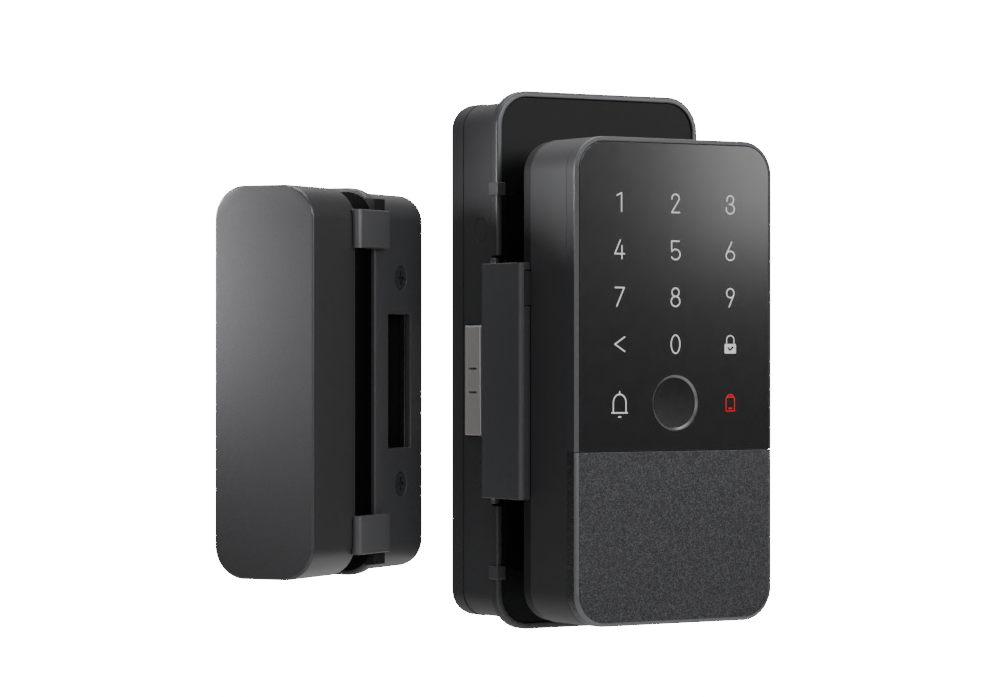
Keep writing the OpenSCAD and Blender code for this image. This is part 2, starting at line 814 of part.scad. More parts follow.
module board_parts() {
    y = mb_y + board_t;
    color("#161616") translate([0, y, mb_z0]) {
        block([-10, 0, 22], [4, 1.4, 34]);
        block([-25, 0, 4], [-17, 6, 16]);
        block([12, 0, 4], [22, 4.5, 10]);
        rod_y(11, 0, 5, 0, 9);
        for (i = [0:1]) rod_y(4, 0, 6, 10, 20 + i * 7);
    }
}

module setup_button() {
    y_switch = mb_y + board_t + 4.2;
    color("#8e9094") translate([button_x, 0, button_z]) {
        rod_y(button_d, in_back - 5, in_back + 0.4);
        rod_y(button_d + 1.8, in_back - 7.6 , in_back - 6 - slide);
        rod_y(3, y_switch + 0.05 + button_travel, in_back - 4);
    }
}

module tact_switch() {
    y = mb_y + board_t;
    color("#202020") translate([button_x, 0, button_z]) {
        block([-3, y, -3], [3, y + 3.4, 3]);
        rod_y(3.4, y + 3.3, y + 4.2);
    }
}

module status_light() {
    color("#d8efe0") translate([-button_x, 0, button_z]) {
        rod_y(3, mb_y + board_t, in_back + 0.2);
        rod_y(5, mb_y + board_t, mb_y + board_t + 3);
    }
}

module side_plugs() {
    color("#333435") plug_places() {
        rod_x(8.5, -side_x + 0.35, -side_x + in_wall);
        rod_x(10.4, -side_x + in_wall, -side_x + in_wall + 1);
    }
}

module edge_clips() {
    proud = 0.6;
    color("#2e2e30") for (x = [0, 1], z = [-1, 1]) mirror([x, 0, 0]) translate([0, 0, z * clip_z]) difference() {
        block([-side_x - proud, 0.2, -clip_h / 2], [-side_x + 3, in_rim + 4.6, clip_h / 2]);
        block([-side_x, in_rim, -clip_h], [-side_x + 4, bezel_back + over, clip_h]);
        block([-side_x, bezel_back, -clip_h], [-side_x + 4, bezel_back + 4, clip_h]);
    }
}

module edge_cover() {
    x1 = -edge_x;
    color("#303132") difference() {
        union() {
            hull() {
                block([x1, edge_back - 1, -edge_h / 2], [x1 + edge_wall, edge_back, edge_h / 2]);
                translate([x1 + edge_round, edge_front + edge_round, -edge_h / 2])
                    cylinder(r = edge_round, h = edge_h);
            }
            block([x1 + edge_round, edge_front, -edge_h / 2], [-out_w / 2, out_back, edge_h / 2]);
            block([x1 + 0.5, in_rim, -edge_h / 2], [-side_x, edge_back, edge_h / 2]);
            block([-side_x - 0.5, in_rim + 0.6, -notch_z + 0.8], [-side_x + 1.6, bezel_back - 0.4, notch_z - 0.8]);
        }
        block([x1 + edge_wall, out_back - 2.8, -edge_h / 2 + 4], [-out_w / 2 - 0.8, in_rim + 0.6, edge_h / 2 - 4]);
        for (y = [cable_y_out, cable_y_in]) cable_run(0.3, y, 0);
        cable_drop(0.3);
    }
}

// The cable's stretch across the glass edge, inside the edge cover.
module cable_drop(c) {
    x0 = -edge_x + edge_wall + 0.4;
    block([x0 - c, cable_y_out - cable_t / 2 - c, cable_z - c],
        [x0 + cable_t + c, cable_y_in + cable_t / 2 + c, cable_z + cable_w + c]);
}

module link_cable() {
    x_in = -side_x + 8;
    color("#161616") {
        cable_drop(0);
        cable_run(0, cable_y_out, -out_w / 2 + 8);
        cable_run(0, cable_y_in, x_in);
        block([x_in - cable_t, cable_y_in - cable_t / 2, cable_z], [x_in, web_back + 3, cable_z + cable_w]);
    }
}

module plate_screws() {
    color("#7c7e82") plate_screw_places() csk_screw_y(2.58, 5.7, plate_front + 0.1, 8, 1, 0, 0);
}

module cover_screws() {
    color("#7c7e82") cover_screw_places() csk_screw_y(2.08, 4.5, in_back - 0.1, cover_d + 6, -1, 0, 0);
}

// ---- Bolt ----

module bolt() {
    slit_y = 5.4;
    slit_z = 4.25;
    color("#8d8a8a") difference() {
        hull() {
            block([bolt_nose_x + 0.5, bolt_front, -bolt_h / 2], [bolt_end_x, bolt_front + bolt_t, bolt_h / 2]);
            block([bolt_nose_x, bolt_front + 0.5, -bolt_h / 2 + 0.5],
                [bolt_end_x, bolt_front + bolt_t - 0.5, bolt_h / 2 - 0.5]);
        }
        for (z = [-1, 1]) translate([0, 0, z * slit_z])
            block([bolt_nose_x - over, bolt_y - slit_y / 2, -0.4], [bolt_nose_x + 6, bolt_y + slit_y / 2, 0.4]);
        insert_space(0.02);
        block([bolt_end_x - 8, bolt_y - tail_t / 2, tail_lo], [bolt_end_x + over, bolt_y + tail_t / 2, tail_hi]);
    }
}

// Pockets in the bolt nose that hold the two hardened inserts.
module insert_space(c) {
    for (z = [0, 1]) mirror([0, 0, z])
        block([bolt_nose_x + 0.4 - c, bolt_y - 2.7 - c, 5.6 - c], [bolt_nose_x + 6 + c, bolt_y + 2.7 + c, bolt_h / 2 - 1.6 + c]);
}

module bolt_inserts() {
    color("#9b9999") insert_space(0);
}

module rack_tail() {
    p = PI * pinion_m;
    q = p / 4;
    root = -pinion_r - 1.2 * pinion_m;
    tip = -pinion_r + 0.8 * pinion_m;
    x0 = bolt_end_x - 8;
    n = floor((tail_end_x - 4 + pinion_r + 1) / p);
    color("#8d8a8a") {
        difference() {
            block([x0, bolt_y - tail_t / 2, tail_lo], [tail_end_x, bolt_y + tail_t / 2, tail_hi]);
            block([bolt_end_x + 2, bolt_y - tail_t, root], [tail_end_x - 3, bolt_y + tail_t, tail_hi - 3]);
        }
        translate([0, bolt_y + tail_t / 2, 0]) rotate([90, 0, 0]) linear_extrude(tail_t)
            for (i = [-n:n + 3]) let (x = (i + 0.5) * p)
                if (x > bolt_end_x + 3 && x < tail_end_x - 5)
                    polygon([[x - q * 1.2, root - 0.5], [x - q * 1.2, root], [x - q * 0.82, -pinion_r],
                        [x - q * 0.42, tip], [x + q * 0.42, tip], [x + q * 0.82, -pinion_r],
                        [x + q * 1.2, root], [x + q * 1.2, root - 0.5]]);
    }
}

module reed_sensor() {
    x0 = -side_x + in_wall;
    color("#1b1b1c") block([x0, slot_yc - 2, plug_z[0] - 15.7], [x0 + 3, slot_yc + 2, plug_z[0] - 6.7]);
}

module bolt_rails() {
    color("#4c4e50") for (z = [0, 1]) mirror([0, 0, z]) difference() {
        block([-side_x + in_wall + 0.2, web_back, bolt_h / 2 - 3], [bolt_end_x - 1, bolt_front + bolt_t + 2.4, bolt_h / 2 + rail_t]);
        block([-in_w, bolt_front - slide / 2, -bolt_h], [0, bolt_front + bolt_t + slide / 2, bolt_h / 2 + slide / 2]);
    }
}

// ---- Strike unit, drawn in its closed place and then swung open ----

module swung() {
    translate([pivot_x, pivot_y, 0]) rotate([0, 0, -swing]) translate([-pivot_x, -pivot_y, 0])
        translate([closed_x, 0, 0]) children();
}

module strike_cover() {
    color("#55575a") swung() difference() {
        slab_bevel_front(strike_w, strike_h, strike_r, s_cover_front, s_cover_back, 0.7, 0.7);
        slab(strike_w - 2 * strike_wall, strike_h - 2 * strike_wall, strike_r - strike_wall,
            s_cover_front + strike_wall, s_cover_back + over);
    }
}

module strike_outer_plate() {
    color("#6e7073") swung() difference() {
        slab(strike_w - 2 * strike_wall - 2 * fit, strike_h - 2 * strike_wall - 2 * fit,
            strike_r - strike_wall - fit, s_cover_back - 3, s_cover_back);
        for (z = [-1, 1]) csk_y(4.2, 8, s_cover_back - 3, 4, 1, 0, z * strike_h / 4);
    }
}

module strike_outer_pad() {
    color("#141414") swung() difference() {
        slab(strike_w - 6, strike_h - 6, strike_r - 3, s_cover_back, -glass_t);
        clamp_fingers(fit);
    }
}

module strike_inner_pad() {
    color("#141414") swung() slab(strike_w - 3, strike_box_h - 3, strike_r - 1.5, 0, s_rim);
}

module strike_plate() {
    color("#3f4042") swung() difference() {
        slab_bevel_front(strike_w, strike_box_h, strike_r, s_rim, s_plate_back, 0.6, 0.6);
        slab(strike_w - 14, strike_box_h - 30, 4, s_rim + 2, s_plate_back + over);
    }
}

module strike_slot(c) {
    block([s_half - 12, slot_y0 - c, -slot_h / 2 - c], [s_half + over, slot_y0 + slot_w + c, slot_h / 2 + c]);
}

module strike_screw_places() {
    for (z = [-1, 1]) translate([0, slot_yc + 1.2, z * screw_z]) children();
}

module strike_box() {
    inset = 0.25;
    color("#333436") swung() difference() {
        slab_round_back(strike_w - 2 * inset, box_h, box_r, s_plate_back, s_back, box_round);
        slab(strike_w - 2 * strike_wall, box_h - 2 * strike_wall, box_r - strike_wall,
            s_plate_back - over, s_back - strike_wall);
        strike_slot(0);
        strike_screw_places() {
            rod_x(screw_head_d + 0.3, s_half - 1.6, s_half + over);
            rod_x(5.2, s_half - strike_wall - over, s_half);
        }
    }
}

module strike_keeper() {
    x1 = s_half - strike_wall;
    color("#85878a") swung() difference() {
        block([x1 - keeper_t, slot_y0 - 3, -keeper_end], [x1, slot_y0 + slot_w + 3, keeper_end]);
        strike_slot(0);
        strike_screw_places() rod_x(3.3, x1 - keeper_t - over, x1 + over);
    }
}

module strike_dust_box() {
    x1 = s_half - strike_wall - keeper_t;
    color("#0d0d0d") swung() difference() {
        block([x1 - dust_depth, slot_y0 - dust_wall - 0.2, -slot_h / 2 - dust_wall - 0.2],
            [x1, slot_y0 + slot_w + dust_wall + 0.2, slot_h / 2 + dust_wall + 0.2]);
        block([x1 - dust_depth + dust_wall, slot_y0 - 0.2, -slot_h / 2 - 0.2],
            [x1 + over, slot_y0 + slot_w + 0.2, slot_h / 2 + 0.2]);
    }
}

module strike_screws() {
    color("#3b3c3e") swung() strike_screw_places() difference() {
        union() {
            rod_x(screw_head_d, s_half - 1.6, s_half - 0.35);
            rod_x(3.2, s_half - 9, s_half - 1.5);
        }
        for (a = [0, 90]) rotate([a, 0, 0])
            block([s_half - 1.25, -screw_head_d * 0.3, -0.55], [s_half + over, screw_head_d * 0.3, 0.55]);
    }
}

// Fingers that reach from the clamps in behind the cover.
module clamp_fingers(c) {
    for (z = [-1, 1]) translate([0, 0, z * clamp_z])
        block([s_half - 8 - c, s_cover_back, -clamp_h / 2 - c],
            [s_half + over, s_cover_back + 1.9 + c, clamp_h / 2 + c]);
}

module strike_clamps() {
    x1 = s_half + clamp_proud;
    color("#3c3d3f") swung() for (z = [-1, 1]) translate([0, 0, z * clamp_z]) difference() {
        union() {
            hull() {
                translate([x1 - 2, clamp_front + 2, -clamp_h / 2]) cylinder(r = 2, h = clamp_h);
                block([s_half - 3, clamp_front, -clamp_h / 2], [s_half - 2, clamp_back, clamp_h / 2]);
                block([x1 - 1, clamp_back - 1, -clamp_h / 2], [x1, clamp_back, clamp_h / 2]);
            }
            block([s_half - 8, s_cover_back, -clamp_h / 2], [s_half - 2, s_cover_back + 1.9, clamp_h / 2]);
        }
        translate([0, 0, -z * clamp_z]) {
            slab(strike_w, strike_h, strike_r, s_cover_front, s_cover_back);
            slab(strike_w, strike_box_h, strike_r, s_rim, s_back);
        }
        block([0, s_cover_back + 1.9, -clamp_h], [s_half, s_rim, clamp_h]);
    }
}

module strike_clips() {
    z = clamp_z + clamp_h / 2 + s_clip_h / 2;
    color("#242425") swung() for (m = [0, 1], n = [0, 1]) mirror([m, 0, 0]) mirror([0, 0, n]) difference() {
        block([s_half - 4, 0.1, z - s_clip_h / 2 + 0.1], [s_half - 0.1, s_rim + 7.6, z + s_clip_h / 2]);
        slab(strike_w, strike_box_h, strike_r, s_rim, s_back);
        slab(strike_w - 3, strike_box_h - 3, strike_r - 1.5, 0, s_rim);
    }
}

module strike_magnet() {
    color("#9a9ca0") swung() translate([s_half - strike_wall - 3, slot_yc, magnet_z])
        rod_x(6, 0, 3);
}

outdoor_housing();
outdoor_back_plate();
front_frame();
lower_cap();
glass_panel();
fingerprint_ring();
fingerprint_sensor();
key_light_guides();
touch_board();
speaker();
supply_port();
outdoor_pad();
outdoor_screws();
indoor_bezel();
mounting_plate();
indoor_pad();
indoor_housing();
rear_cover();
battery_door();
battery_tray();
battery_cells();
battery_contacts();
thumbturn();
spindle();
spindle_wheel();
bolt_pinion();
escutcheon_ring();
gear_motor();
motor_pinion();
main_board();
board_parts();
setup_button();
tact_switch();
status_light();
side_plugs();
edge_clips();
edge_cover();
link_cable();
plate_screws();
cover_screws();
bolt();
rack_tail();
bolt_inserts();
bolt_rails();
reed_sensor();
strike_cover();
strike_outer_plate();
strike_outer_pad();
strike_inner_pad();
strike_plate();
strike_box();
strike_keeper();
strike_dust_box();
strike_screws();
strike_clamps();
strike_clips();
strike_magnet();
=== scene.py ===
"""Looks of the keypad glass-door lock and its strike unit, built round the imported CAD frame.

The row frame is in metres: +X right seen from outside, +Y into the room, +Z up. Sizes below are in
millimetres and turned to metres by MM. CAD nodes whose shape is right keep their mesh and get a finish;
the others are replaced by pieces with rounded edges, printed keys and other fine detail.
"""

import json
import math

import bmesh
import bpy
from mathutils import Matrix, Vector


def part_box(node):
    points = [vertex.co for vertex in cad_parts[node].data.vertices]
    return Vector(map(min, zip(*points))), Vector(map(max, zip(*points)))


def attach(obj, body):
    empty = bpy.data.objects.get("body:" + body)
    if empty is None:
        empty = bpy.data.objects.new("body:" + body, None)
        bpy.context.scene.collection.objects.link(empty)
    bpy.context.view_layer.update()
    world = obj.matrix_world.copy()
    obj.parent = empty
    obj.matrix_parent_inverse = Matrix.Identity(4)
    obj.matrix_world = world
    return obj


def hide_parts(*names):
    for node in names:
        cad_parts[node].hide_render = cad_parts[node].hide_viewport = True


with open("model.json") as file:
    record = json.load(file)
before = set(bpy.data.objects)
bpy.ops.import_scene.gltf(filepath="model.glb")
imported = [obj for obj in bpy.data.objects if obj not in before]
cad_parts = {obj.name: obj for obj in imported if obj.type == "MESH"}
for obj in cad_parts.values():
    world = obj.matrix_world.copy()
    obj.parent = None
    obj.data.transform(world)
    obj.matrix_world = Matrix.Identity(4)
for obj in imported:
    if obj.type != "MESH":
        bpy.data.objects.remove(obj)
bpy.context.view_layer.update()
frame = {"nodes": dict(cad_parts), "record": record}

MM = 0.001


# ---- Small helpers ----


def linear(code):
    """An sRGB hex colour such as "2b2b2c" as opaque linear RGBA."""
    parts = [int(code[i : i + 2], 16) / 255 for i in (0, 2, 4)]
    return (*[c / 12.92 if c <= 0.04045 else ((c + 0.055) / 1.055) ** 2.4 for c in parts], 1.0)


def per(size_mm):
    """Scale of a pattern on Object coordinates whose features are size_mm across."""
    return 1 / (size_mm * MM)


def add(tree, kind, settings=(), links=()):
    """Adds a node to a material, sets its own settings and sockets, and links its sockets.

    settings is (name, value) pairs, where a name is a property or a socket, and links is
    (socket of this node, other node, socket of the other node) triples.
    """
    new = tree.nodes.new(kind)
    for name, value in settings:
        if isinstance(name, str) and hasattr(new, name):
            setattr(new, name, value)
        else:
            new.inputs[name].default_value = value
    for socket, other, output in links:
        tree.links.new(other.outputs[output], new.inputs[socket])
    return new


def alone():
    """Nothing is selected, so that the next operator acts only on what it adds."""
    if bpy.context.object and bpy.context.object.mode != "OBJECT":
        bpy.ops.object.mode_set(mode="OBJECT")
    bpy.ops.object.select_all(action="DESELECT")


def pick(obj):
    """Only obj is selected and active."""
    alone()
    obj.select_set(True)
    bpy.context.view_layer.objects.active = obj


# ---- Camera ----

# It stands level, in front and to the left, 1.28 m away, with a long lens.
CAMERA_PLACE = (-0.71287, -1.06835, 0.0115)
CAMERA_TURN = (math.radians(90), 0, math.radians(-32))
CAMERA_LENS = 129.09
CAMERA_SENSOR = 36

bpy.ops.object.camera_add(location=CAMERA_PLACE, rotation=CAMERA_TURN)
camera = bpy.context.object
camera.data.sensor_width = CAMERA_SENSOR
camera.data.lens = CAMERA_LENS
camera.data.clip_start = 0.05
bpy.context.scene.camera = camera


# ---- Finishes ----

# The part of a noise texture's output between which colours and roughnesses run.
NOISE_LOW = 0.3
NOISE_HIGH = 0.7
# Sockets of a mix node that mixes colours, and its output.
MIX_SHARE = 0
MIX_FIRST = 6
MIX_SECOND = 7
MIX_RESULT = 2


def finish(name, dark, light, metallic, rough, grain, relief, stretch=(1, 1, 1), **constants):
    """A material whose colour, roughness and fine relief vary over its grain.

    dark and light are the two sRGB colours the grain runs between, rough the two roughnesses,
    grain the size of the grain in millimetres and relief its height in millimetres. stretch
    draws the grain out along an axis, and constants are sockets of the shader by their name.
    """
    made = bpy.data.materials.new(name)
    made.use_nodes = True
    tree = made.node_tree
    tree.nodes.clear()
    place = add(tree, "ShaderNodeTexCoord")
    turned = add(tree, "ShaderNodeMapping", [("Scale", stretch)], [("Vector", place, "Object")])
    noise = add(
        tree,
        "ShaderNodeTexNoise",
        [("Scale", per(grain)), ("Detail", 4.0), ("Roughness", 0.6)],
        [("Vector", turned, "Vector")],
    )
    colour = add(tree, "ShaderNodeValToRGB", [], [("Fac", noise, "Fac")])
    stops = colour.color_ramp.elements
    for stop, position, shade in zip(stops, (NOISE_LOW, NOISE_HIGH), (dark, light)):
        stop.position = position
        stop.color = linear(shade)
    gloss = add(
        tree,
        "ShaderNodeMapRange",
        [
            ("From Min", NOISE_LOW),
            ("From Max", NOISE_HIGH),
            ("To Min", rough[0]),
            ("To Max", rough[1]),
        ],
        [("Value", noise, "Fac")],
    )
    bump = add(
        tree,
        "ShaderNodeBump",
        [("Strength", 1.0), ("Distance", relief * MM)],
        [("Height", noise, "Fac")],
    )
    shader = add(
        tree,
        "ShaderNodeBsdfPrincipled",
        [("Metallic", metallic), *[(k.replace("_", " "), v) for k, v in constants.items()]],
        [("Base Color", colour, "Color"), ("Roughness", gloss, "Result"), ("Normal", bump, "Normal")],
    )
    add(tree, "ShaderNodeOutputMaterial", [], [("Surface", shader, "BSDF")])
    return made


# Powder-coated die-cast alloy: black, with a fine even grain that breaks up the light.
black_coat = finish(
    "black_powder_coat", "303032", "363638", 0.0, (0.46, 0.56), 0.35, 0.006,
    Specular_IOR_Level=0.25,
)
# Satin grey lacquer of the outdoor unit's bevelled rim, partly metallic. Where it is put only on the
# band of faces picked below, it paints a highlight line there.
grey_lacquer = finish("grey_satin_lacquer", "626366", "6b6c6f", 0.5, (0.34, 0.42), 0.5, 0.003)
# The same lacquer, darker, on the indoor frame.
bezel_lacquer = finish("dark_satin_lacquer", "48494b", "505153", 0.5, (0.36, 0.44), 0.5, 0.003)
# Metallic paint of the strike cover: smooth, dark grey, with a soft wide sheen.
strike_lacquer = finish(
    "strike_metallic_lacquer", "4b4a4c", "525153", 0.7, (0.34, 0.39), 0.4, 0.002
)
# Moulded ABS with a fine spark-eroded grain: matt black.
moulded_black = finish("moulded_black_abs", "161617", "1c1c1d", 0.0, (0.46, 0.56), 0.6, 0.006)
# A little lighter than the shells: the strike's plate and box, the edge clips and the link cable.
plate_paint = finish("strike_plate_paint", "363638", "3e3e40", 0.0, (0.40, 0.5), 0.35, 0.006)
# Matt black of the outdoor unit's back plate and the strike's clips.
back_black = finish(
    "matt_black_back", "19191a", "1e1e1f", 0.0, (0.5, 0.6), 0.5, 0.006,
    Specular_IOR_Level=0.2,
)
# Satin grey coat of the edge cover and the strike's clamps.
cover_coat = finish("edge_cover_coat", "4e4e52", "57575a", 0.35, (0.38, 0.48), 0.35, 0.004)
# Smooth ABS of the small black parts: a little shine.
smooth_black = finish("smooth_black_abs", "131314", "1a1a1b", 0.0, (0.28, 0.36), 0.8, 0.004)
# Black-backed tempered glass: a dark body under a clear polished surface.
black_glass = finish(
    "black_tempered_glass", "0d0d0e", "101012", 0.0, (0.16, 0.18), 6.0, 0.0,
    Coat_Weight=0.6, Coat_Roughness=0.17,
)
# Satin chromed funnel round the reader.
ring_chrome = finish("dark_chromed_ring", "7c7c7e", "868688", 0.9, (0.30, 0.36), 1.5, 0.0)
# Reader window: satin black glass.
reader_glass = finish(
    "reader_window_glass", "0c0c0d", "0f0f10", 0.0, (0.32, 0.38), 3.0, 0.0,
    Specular_IOR_Level=0.3,
)
# Foamed rubber of the glass pads: dead black with open pores.
pad_foam = finish(
    "black_pad_foam", "050505", "0a0a0a", 0.0, (0.80, 0.92), 0.9, 0.03,
    Specular_IOR_Level=0.1,
)
# Black-passivated steel plate: smooth with faint rolling marks.
coated_steel = finish(
    "black_coated_steel", "101011", "151516", 0.0, (0.50, 0.60), 0.7, 0.004,
    stretch=(1, 1, 0.2), Specular_IOR_Level=0.2,
)
# Zinc-plated screws and small pressings: bluish, softly cloudy.
zinc_plate = finish("zinc_plated_steel", "7d8085", "8f9297", 1.0, (0.30, 0.42), 0.8, 0.003)
# Blackened steel of the strike's screws.
black_oxide = finish("black_oxide_steel", "4c4c4e", "58585a", 0.7, (0.34, 0.44), 0.5, 0.003)
# Satin nickel plate over brushed steel: the bolt, with fine marks along its travel.
brushed_nickel = finish(
    "brushed_nickel_plate", "c4c0be", "d6d2d0", 0.75, (0.34, 0.44), 0.25, 0.004,
    stretch=(0.04, 1, 1),
)
# Ground hardened steel of the inserts.
ground_steel = finish(
    "ground_hard_steel", "b8b5b4", "c8c5c4", 0.75, (0.38, 0.5), 0.2, 0.004,
    stretch=(1, 1, 0.05),
)
# Turned free-cutting steel: spindle and bolt pinion.
turned_steel = finish(
    "turned_steel", "85878b", "989a9e", 1.0, (0.28, 0.38), 0.2, 0.003,
    stretch=(0.2, 1, 0.2),
)
# Anodised aluminium of the thumbturn: dark grey, bead-blasted.
anodised_grey = finish("anodised_dark_grey", "4a4b4e", "555659", 0.9, (0.36, 0.46), 0.3, 0.005)
# Natural nylon of the spindle wheel.
natural_nylon = finish(
    "natural_nylon", "cfcbbd", "dad6c9", 0.0, (0.42, 0.5), 1.2, 0.004,
    Subsurface_Weight=0.1,
)
# Machined brass of the motor's pinion.
machined_brass = finish(
    "machined_brass", "b08d45", "c7a35c", 1.0, (0.24, 0.34), 0.2, 0.003,
    stretch=(1, 0.1, 1),
)
# Drawn steel can of the motor.
motor_can = finish(
    "nickel_plated_can", "a0a1a3", "b2b3b5", 1.0, (0.22, 0.32), 0.6, 0.002,
    stretch=(1, 0.2, 1),
)
# Glass-fibre board under green solder mask.
green_board = finish(
    "green_solder_mask", "15402a", "1e5237", 0.0, (0.24, 0.34), 0.4, 0.006,
    Coat_Weight=0.3,
)
# Shrink sleeve of the cells: glossy printed film.
cell_sleeve = finish(
    "printed_cell_sleeve", "2f5a3c", "3b6848", 0.0, (0.2, 0.28), 5.0, 0.004,
    Coat_Weight=0.5,
)
# Nickel-plated spring steel: contacts, magnet.
spring_nickel = finish("nickel_spring_steel", "b9bbbd", "c8cacc", 1.0, (0.18, 0.28), 0.5, 0.002)
# Stamped steel keeper behind the strike's slot.
keeper_steel = finish(
    "stamped_keeper_steel", "3a3b3d", "47484b", 0.8, (0.34, 0.46), 0.5, 0.005,
    stretch=(1, 1, 0.15),
)
# Stamped shell of the supply port.
port_steel = finish("stamped_port_steel", "a9acb0", "b9bcc0", 1.0, (0.22, 0.32), 0.4, 0.002)
# Milky diffuser behind the keys.
milky_diffuser = finish(
    "milky_diffuser", "dcdcd6", "e8e8e2", 0.0, (0.35, 0.45), 2.0, 0.0,
    Subsurface_Weight=0.2,
)
# Clear tinted lens of the status light.
light_lens = finish(
    "status_light_lens", "cfe6d6", "dcefe2", 0.0, (0.08, 0.14), 3.0, 0.0,
    Transmission_Weight=0.5,
)


# Width of a fleck in the cap's paint, which is as coarse as it has to be to show, the part of
# the flecks that stay dark, and how far the brightest one goes towards the fleck colour.
FLECK_WIDTH = 0.3
FLECK_DARK = 0.35
FLECK_SHARE = 0.3


def flecked(name, dark, light, fleck):
    """Dark grey metallic paint full of small flecks that vary towards the colour fleck."""
    made = finish(name, dark, light, 0.55, (0.42, 0.52), 0.25, 0.006)
    tree = made.node_tree
    shader = next(n for n in tree.nodes if n.type == "BSDF_PRINCIPLED")
    ramp = next(n for n in tree.nodes if n.type == "VALTORGB")
    place = next(n for n in tree.nodes if n.type == "TEX_COORD")
    cells = add(
        tree,
        "ShaderNodeTexVoronoi",
        [("Scale", per(FLECK_WIDTH))],
        [("Vector", place, "Object")],
    )
    pale = add(tree, "ShaderNodeSeparateColor", [], [("Color", cells, "Color")])
    chosen = add(
        tree,
        "ShaderNodeMapRange",
        [("From Min", FLECK_DARK), ("From Max", 1), ("To Min", 0), ("To Max", FLECK_SHARE)],
        [("Value", pale, "Red")],
    )
    mixed = add(
        tree,
        "ShaderNodeMix",
        [("data_type", "RGBA"), (MIX_SECOND, linear(fleck))],
        [(MIX_SHARE, chosen, "Result"), (MIX_FIRST, ramp, "Color")],
    )
    tree.links.new(mixed.outputs[MIX_RESULT], shader.inputs["Base Color"])
    return made


def print_with_painted_glow(name, colour, strength):
    """Translucent key print whose faint emission paints a glow into it, with the grain of screen
    printing.
    """
    made = finish(
        name, colour, colour, 0.0, (0.5, 0.6), 0.15, 0.002,
        Emission_Strength=strength, Specular_IOR_Level=0.1,
    )
    shader = next(n for n in made.node_tree.nodes if n.type == "BSDF_PRINCIPLED")
    shader.inputs["Emission Color"].default_value = linear(colour)
    return made


# Sprayed metallic paint of the lower cap.
fleck_paint = flecked("flecked_metallic_paint", "202021", "303031", "848588")

# The finish of each material slot of the record.
FINISHES = {
    "painted_shell": black_coat,
    "frame_trim": grey_lacquer,
    "grey_cap": fleck_paint,
    "touch_glass": black_glass,
    "ring_metal": ring_chrome,
    "dark_plastic": moulded_black,
    "gloss_black": smooth_black,
    "light_guide": milky_diffuser,
    "circuit_board": green_board,
    "pad_rubber": pad_foam,
    "zinc_screw": zinc_plate,
    "black_screw": black_oxide,
    "plate_steel": coated_steel,
    "bolt_steel": brushed_nickel,
    "insert_steel": ground_steel,
    "spindle_steel": turned_steel,
    "knob_metal": anodised_grey,
    "gear_nylon": natural_nylon,
    "gear_brass": machined_brass,
    "motor_can": motor_can,
    "battery_wrap": cell_sleeve,
    "contact_steel": spring_nickel,
    "strike_paint": strike_lacquer,
    "keeper_steel": keeper_steel,
    "magnet_metal": spring_nickel,
    "port_metal": port_steel,
    "lamp_plastic": light_lens,
}
# Parts whose coat differs from the rest of their slot.
OWN_FINISH = {
    "strike_plate": plate_paint,
    "strike_clips": back_black,
    "strike_box": plate_paint,
    "strike_clamps": cover_coat,
    "edge_cover": cover_coat,
    "side_plugs": black_coat,
    "edge_clips": plate_paint,
    "link_cable": plate_paint,
    "rear_cover": black_coat,
    "outdoor_back_plate": back_black,
    "indoor_bezel": bezel_lacquer,
}
SLOT = {part["node"]: part["material_slot"] for part in frame["record"]["subparts"]}

for name, obj in frame["nodes"].items():
    obj.data.materials.clear()
    obj.data.materials.append(OWN_FINISH.get(name) or FINISHES[SLOT[name]])


# ---- Rounded edges on the pieces that show ----

BODIES = frame["record"]["behaviour"]["bodies"]
BODY = {node: body for body, nodes in BODIES.items() for node in nodes}

# Only edges that turn by more than this many degrees are rounded, and none of the short ones
# round small holes.
SHARP_TURN = 50
SHORTEST_EDGE = 0.45
WELD = 0.002


def soften(node, radius):
    """Stands a copy of a CAD node, its outer edges rounded to radius (mm), in the node's place."""
    obj = bpy.data.objects.new("rounded_" + node, frame["nodes"][node].data.copy())
    bpy.context.scene.collection.objects.link(obj)
    pick(obj)
    bpy.ops.object.mode_set(mode="EDIT")
    bpy.ops.mesh.select_all(action="SELECT")
    bpy.ops.mesh.remove_doubles(threshold=WELD * MM)
    bpy.ops.mesh.dissolve_limited(angle_limit=math.radians(0.6))
    bpy.ops.mesh.quads_convert_to_tris(quad_method="BEAUTY", ngon_method="BEAUTY")
    bpy.ops.mesh.select_all(action="DESELECT")
    bpy.ops.mesh.select_mode(type="EDGE")
    net = bmesh.from_edit_mesh(obj.data)
    for edge in net.edges:
        turn = edge.calc_face_angle_signed() if len(edge.link_faces) == 2 else 0
        edge.select_set(turn > math.radians(SHARP_TURN) and edge.calc_length() > SHORTEST_EDGE * MM)
    bmesh.update_edit_mesh(obj.data)
    bpy.ops.mesh.bevel(
        offset=radius * MM, offset_type="OFFSET", segments=3, affect="EDGES", loop_slide=False
    )
    bpy.ops.object.mode_set(mode="OBJECT")
    bpy.ops.object.shade_smooth_by_angle(angle=math.radians(35))
    level = obj.modifiers.new("flat_faces_stay_flat", "WEIGHTED_NORMAL")
    level.keep_sharp = True
    bpy.ops.object.modifier_apply(modifier=level.name)
    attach(obj, BODY[node])
    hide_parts(node)
    return obj


# Radius of the edges of each rounded piece, in millimetres.
ROUNDING = {
    "front_frame": 0.2,
    "lower_cap": 0.3,
    "glass_panel": 0.12,
    "outdoor_housing": 0.25,
    "outdoor_back_plate": 0.5,
    "indoor_bezel": 0.35,
    "mounting_plate": 0.2,
    "indoor_housing": 0.25,
    "rear_cover": 0.25,
    "battery_door": 0.25,
    "edge_cover": 0.4,
    "edge_clips": 0.3,
    "bolt": 0.2,
    "strike_cover": 0.35,
    "strike_plate": 0.3,
    "strike_box": 0.3,
    "strike_keeper": 0.25,
    "strike_clamps": 0.5,
    "strike_clips": 0.3,
    "thumbturn": 0.4,
}
rounded = {node: soften(node, radius) for node, radius in ROUNDING.items()}
